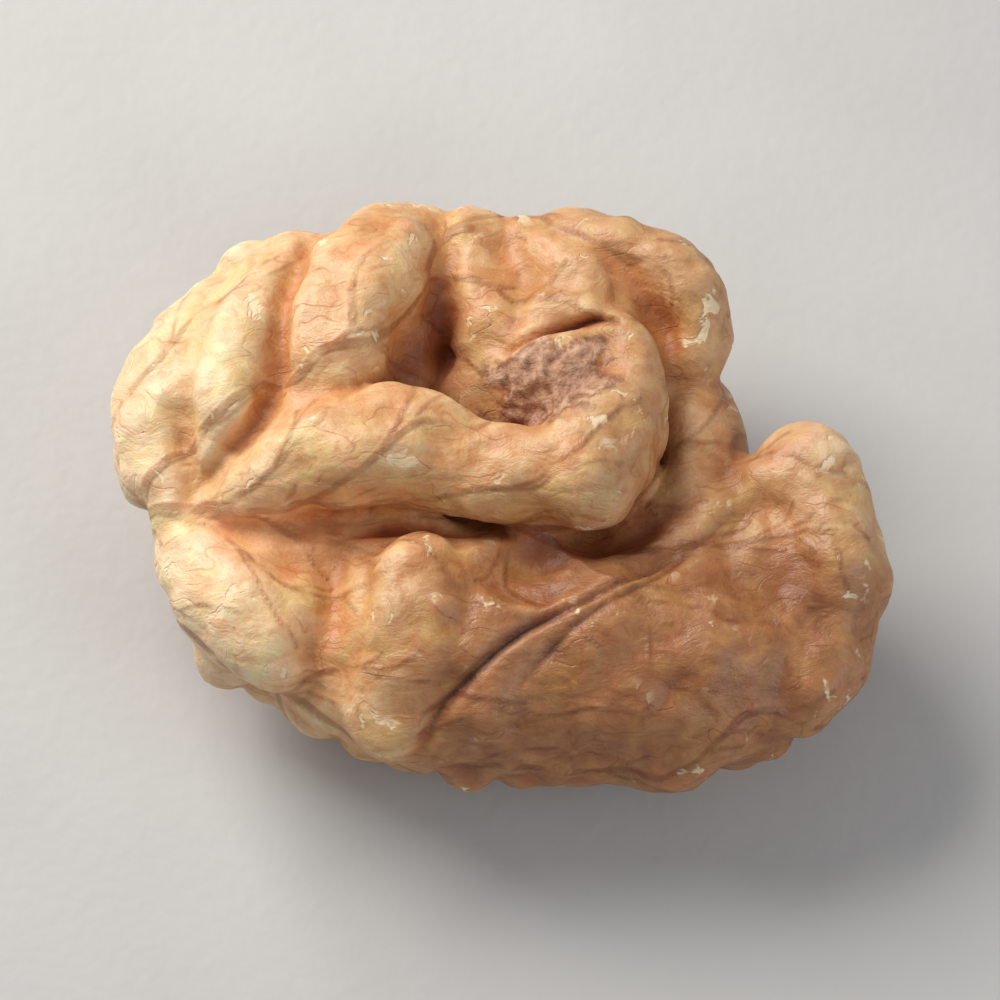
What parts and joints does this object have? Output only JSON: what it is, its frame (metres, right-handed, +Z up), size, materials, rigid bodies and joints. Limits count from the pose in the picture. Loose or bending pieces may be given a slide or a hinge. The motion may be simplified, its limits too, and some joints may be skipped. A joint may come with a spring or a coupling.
{
  "type": "walnut kernel half",
  "caption": "Half of a shelled walnut: a curled inner face with a deep groove, a scalloped rim, and a back of winding folds parted by a furrow.",
  "frame": {"origin": "bottom centre of the bounding box, in the plane of the small flat spots that the half rests on", "axes": "+X along the seam, the half's longest extent; +Z up out of the inner face"},
  "size_m": [0.0312, 0.024, 0.0122],
  "materials": {
    "walnut_skin": "thin dry papery skin, golden tan, slightly oily sheen"
  },
  "bodies": {
    "root": {"kernel_half": "walnut_skin"}
  },
  "joints": []
}
